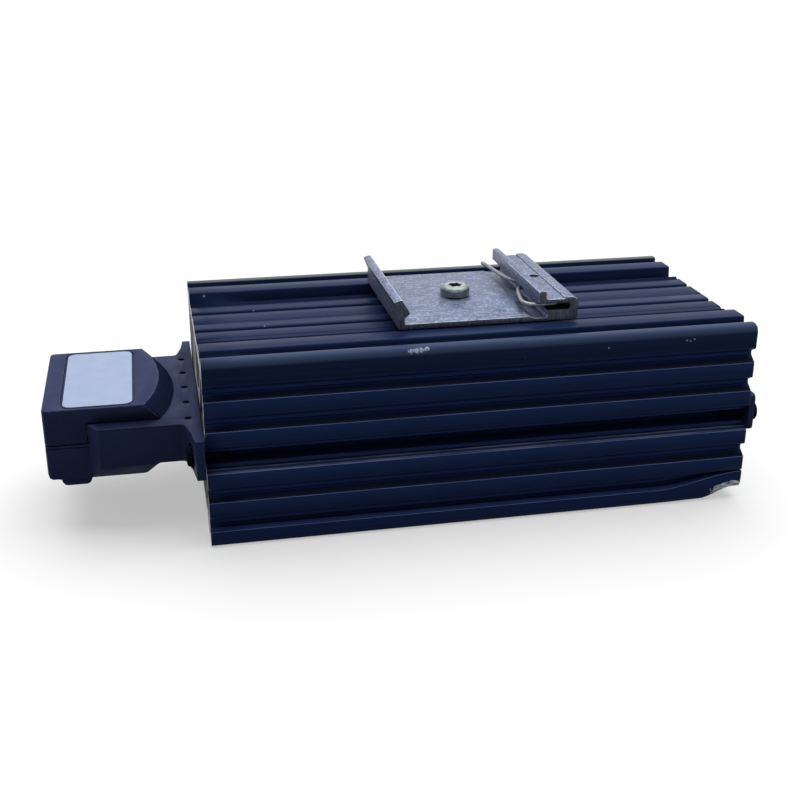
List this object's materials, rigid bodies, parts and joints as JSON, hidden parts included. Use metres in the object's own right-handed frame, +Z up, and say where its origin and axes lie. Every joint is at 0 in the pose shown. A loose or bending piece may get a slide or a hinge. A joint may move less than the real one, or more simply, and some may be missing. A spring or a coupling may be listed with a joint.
{
  "type": "enclosure heater",
  "caption": "Finned aluminium enclosure heater with a moulded terminal housing, an end cap and a spring clip for a mounting rail.",
  "frame": {"origin": "bottom centre of the whole heater's bounding box, on the surface that it lies on", "axes": "+X along the profile, from the terminal housing to the end cap; +Z up, out of the face that carries the rail clip"},
  "size_m": [0.182, 0.0736, 0.0567],
  "materials": {
    "anodised_aluminium": "blue-black anodised extrusion with fine lines along its length, bare metal on the cut ends and on the crushed corner",
    "mill_aluminium": "bare extruded aluminium, scratched and slightly dulled",
    "zinc_steel": "bright zinc plate",
    "black_steel": "blackened steel",
    "spring_steel": "bare spring steel",
    "black_plastic": "fine-grained matt black moulding",
    "grey_plastic": "plain grey moulding, hidden inside",
    "label_white": "bare white film label",
    "ptc_ceramic": "sintered dark ceramic, hidden inside",
    "polyimide_film": "amber insulating film, hidden inside",
    "lead_brown": "brown lead insulation",
    "lead_blue": "blue lead insulation",
    "lead_green": "green lead insulation"
  },
  "bodies": {
    "root": {"heatsink_profile": "anodised_aluminium", "insulation_sleeve": "polyimide_film", "electrode_upper": "mill_aluminium", "electrode_lower": "mill_aluminium", "ptc_chip_1": "ptc_ceramic", "ptc_chip_2": "ptc_ceramic", "ptc_chip_3": "ptc_ceramic", "ptc_chip_4": "ptc_ceramic", "chip_frame": "grey_plastic", "housing_base": "black_plastic", "housing_cover": "black_plastic", "label": "label_white", "terminal_block": "grey_plastic", "terminal_clamp_1": "spring_steel", "terminal_clamp_2": "spring_steel", "terminal_clamp_3": "spring_steel", "terminal_clamp_4": "spring_steel", "lead_live": "lead_brown", "lead_neutral": "lead_blue", "lead_earth": "lead_green", "earth_tab": "mill_aluminium", "earth_screw": "zinc_steel", "end_cap": "black_plastic", "housing_screw_near": "black_steel", "housing_screw_far": "black_steel", "cap_screw_near": "black_steel", "cap_screw_far": "black_steel", "rail_clip": "mill_aluminium", "clip_screw": "zinc_steel", "clip_spring": "spring_steel"}
  },
  "joints": []
}
